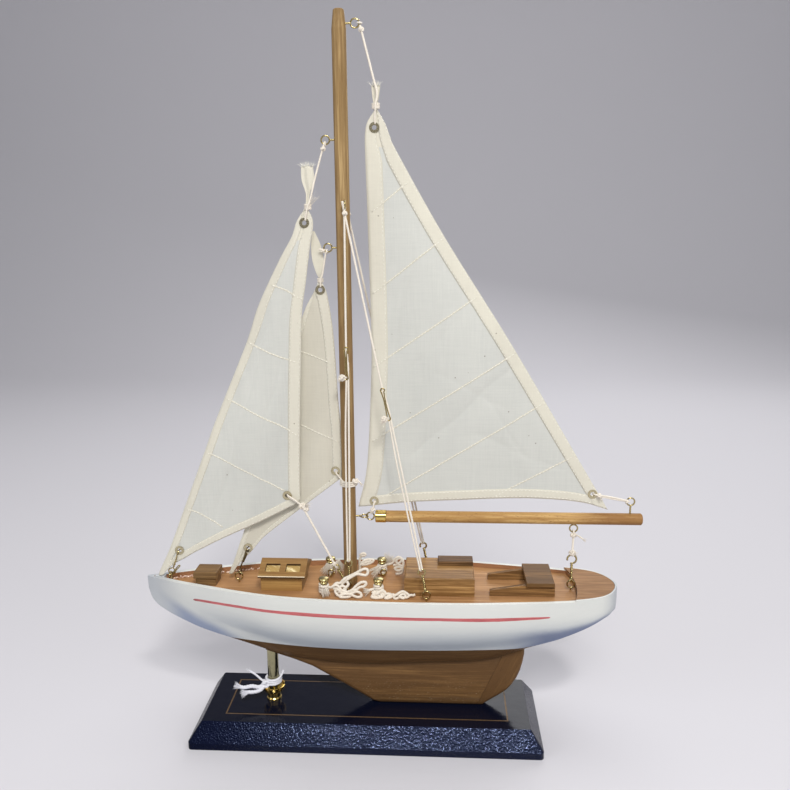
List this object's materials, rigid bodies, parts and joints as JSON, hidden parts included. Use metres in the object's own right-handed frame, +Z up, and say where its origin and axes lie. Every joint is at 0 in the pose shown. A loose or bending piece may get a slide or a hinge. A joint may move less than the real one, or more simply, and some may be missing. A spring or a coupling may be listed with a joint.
{
  "type": "model sailing ship",
  "caption": "Decorative model sloop with white and walnut hull, cloth mainsail, jib and staysail, swinging boom and corded shrouds, on a black stand with a brass post.",
  "frame": {"origin": "centre of the stand's underside", "axes": "+Z up along the mast, -X towards the bow, +X towards the stern, -Y to port"},
  "size_m": [0.302, 0.0676, 0.423],
  "materials": {
    "black_gloss_paint": "gloss lacquer on the top face, fine hammered lacquer on the bevels",
    "polished_brass": "polished",
    "screw_steel": "plain zinc-plated",
    "white_cord": "braided cotton cord",
    "hull_white_paint": "brushed satin white paint on wood, with a thin red line",
    "walnut_varnish": "satin varnish, lengthwise grain",
    "deck_wood": "satin varnish, fine grain",
    "house_wood": "satin varnish, straight grain",
    "pale_wood": "gloss varnish",
    "dark_wood": "satin varnish",
    "mast_wood": "satin varnish, lengthwise grain",
    "boom_wood": "satin varnish, mottled grain",
    "bronzed_wire": "antique bronze plating, glossy",
    "sailcloth": "plain-weave cotton with stitched double hems"
  },
  "bodies": {
    "hull": {"base_board": "black_gloss_paint", "post_tube": "polished_brass", "post_cup": "polished_brass", "post_rosette": "polished_brass", "stand_screws": "screw_steel", "post_string": "white_cord", "hull_upper": "hull_white_paint", "hull_lower": "walnut_varnish", "rudder": "walnut_varnish", "main_deck": "deck_wood", "aft_deck": "deck_wood", "fore_hatch_body": "house_wood", "fore_hatch_lid": "house_wood", "skylight_body": "house_wood", "skylight_roof": "house_wood", "skylight_panes": "pale_wood", "cabin_trunk": "house_wood", "cabin_hatch": "dark_wood", "coaming_port": "house_wood", "coaming_starboard": "house_wood", "helm_seat": "house_wood", "mast": "mast_wood", "mast_rigging_eyes": "bronzed_wire", "gooseneck_mast_eye": "bronzed_wire", "bow_eye": "bronzed_wire", "staysail_deck_eye": "bronzed_wire", "shroud_deck_eyes": "bronzed_wire", "mainsheet_deck_eye": "bronzed_wire", "belaying_eyes": "polished_brass", "bollards": "polished_brass", "staysail": "sailcloth", "staysail_grommets": "bronzed_wire", "jib_sheet_hook": "bronzed_wire", "staysail_halyard": "white_cord", "staysail_tack_hook": "bronzed_wire", "staysail_clew_lashing": "white_cord", "shroud_lines": "white_cord", "shroud_hooks": "bronzed_wire", "deck_ropes": "white_cord"},
    "boom": {"boom": "boom_wood", "boom_ferrule": "polished_brass", "gooseneck_boom_eye": "bronzed_wire", "boom_eyes": "bronzed_wire", "mainsail": "sailcloth", "mainsail_grommets": "bronzed_wire", "tack_lashing": "white_cord", "clew_lashing": "white_cord", "main_halyard": "white_cord"},
    "mainsheet": {"mainsheet": "white_cord", "mainsheet_hook": "bronzed_wire"},
    "jib": {"jib": "sailcloth", "jib_grommets": "bronzed_wire", "jib_halyard": "white_cord", "jib_tack_hook": "bronzed_wire", "jib_sheet": "white_cord"},
    "bowsie_port_fwd": {"bowsie_port_fwd": "bronzed_wire"},
    "bowsie_starboard_fwd": {"bowsie_starboard_fwd": "bronzed_wire"},
    "bowsie_port_aft": {"bowsie_port_aft": "bronzed_wire"},
    "bowsie_starboard_aft": {"bowsie_starboard_aft": "bronzed_wire"}
  },
  "joints": [
    {"name": "boom_swing", "type": "hinge", "parent": "hull", "child": "boom", "pos_m": [0.0009, 0, 0.1386], "axis": [0, 0, 1], "range_deg": [-24, 24]},
    {"name": "mainsheet_swing", "type": "hinge", "parent": "boom", "child": "mainsheet", "pos_m": [0.125, 0, 0.1324], "axis": [0, 1, 0], "range_deg": [-75, 0]},
    {"name": "jib_swing", "type": "hinge", "parent": "hull", "child": "jib", "pos_m": [-0.1227, 0, 0.0979], "axis": [0.3737, 0, 0.9275], "range_deg": [-15, 2], "deforming": ["jib_sheet"]},
    {"name": "bowsie_port_fwd_slide", "type": "slide", "parent": "hull", "child": "bowsie_port_fwd", "axis": [0.0084, 0.0073, 0.9999], "range_m": [-0.006, 0.006]},
    {"name": "bowsie_starboard_fwd_slide", "type": "slide", "parent": "hull", "child": "bowsie_starboard_fwd", "axis": [0.0084, -0.0073, 0.9999], "range_m": [-0.006, 0.006]},
    {"name": "bowsie_port_aft_slide", "type": "slide", "parent": "hull", "child": "bowsie_port_aft", "axis": [-0.2012, 0.0583, 0.9778], "range_m": [-0.006, 0.006]},
    {"name": "bowsie_starboard_aft_slide", "type": "slide", "parent": "hull", "child": "bowsie_starboard_aft", "axis": [-0.2012, -0.0583, 0.9778], "range_m": [-0.006, 0.006]}
  ]
}
